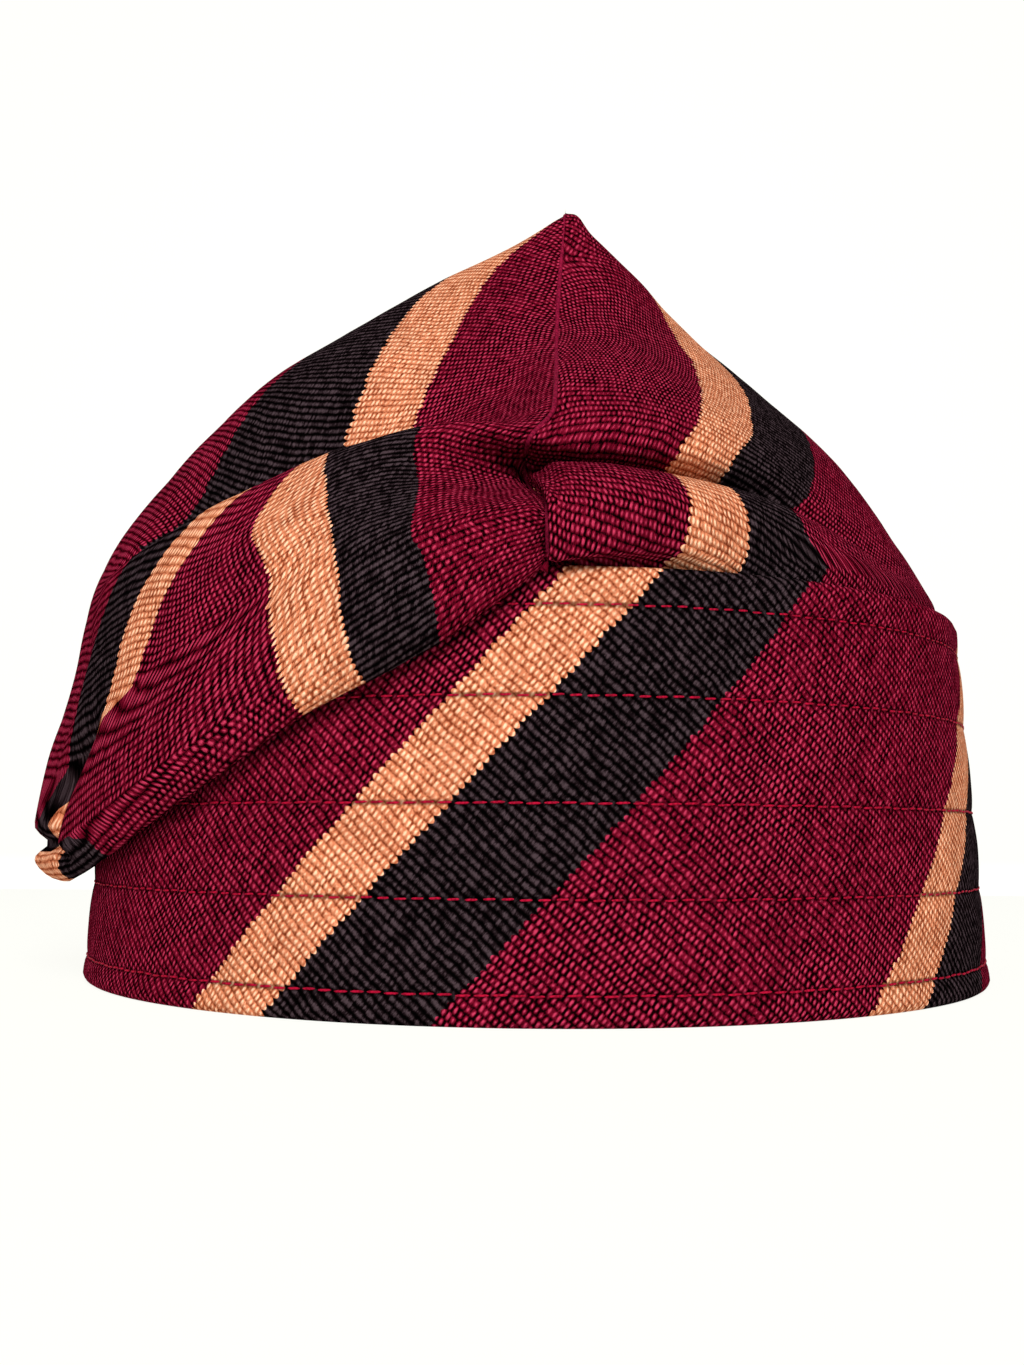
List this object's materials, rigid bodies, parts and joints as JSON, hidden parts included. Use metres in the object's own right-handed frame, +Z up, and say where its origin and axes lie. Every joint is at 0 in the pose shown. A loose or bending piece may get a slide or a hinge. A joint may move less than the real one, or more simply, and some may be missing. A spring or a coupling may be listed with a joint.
{
  "type": "fila cap",
  "caption": "Soft brimless cap of striped woven cloth: a stitched oval band round the head, and a peaked crown sewn to it that flops down over one side.",
  "frame": {"origin": "on the plane the rim of the band rests on, under the middle of the whole cap's box, which lies about 5 mm to -X of the band's own middle because the flap stands out on that side", "axes": "+Z up, the wearer's face looks along -Y, +X is to the right of someone who faces the cap; the flap hangs on the -X side"},
  "size_m": [0.1868, 0.2019, 0.143],
  "materials": {
    "band_cloth": "rib-woven strip cloth, diagonal maroon, peach and black stripes, rows of crimson stitching",
    "crown_cloth": "rib-woven strip cloth, maroon, peach and black stripes"
  },
  "bodies": {
    "root": {"band": "band_cloth", "crown_left": "crown_cloth", "crown_right": "crown_cloth"}
  },
  "joints": []
}
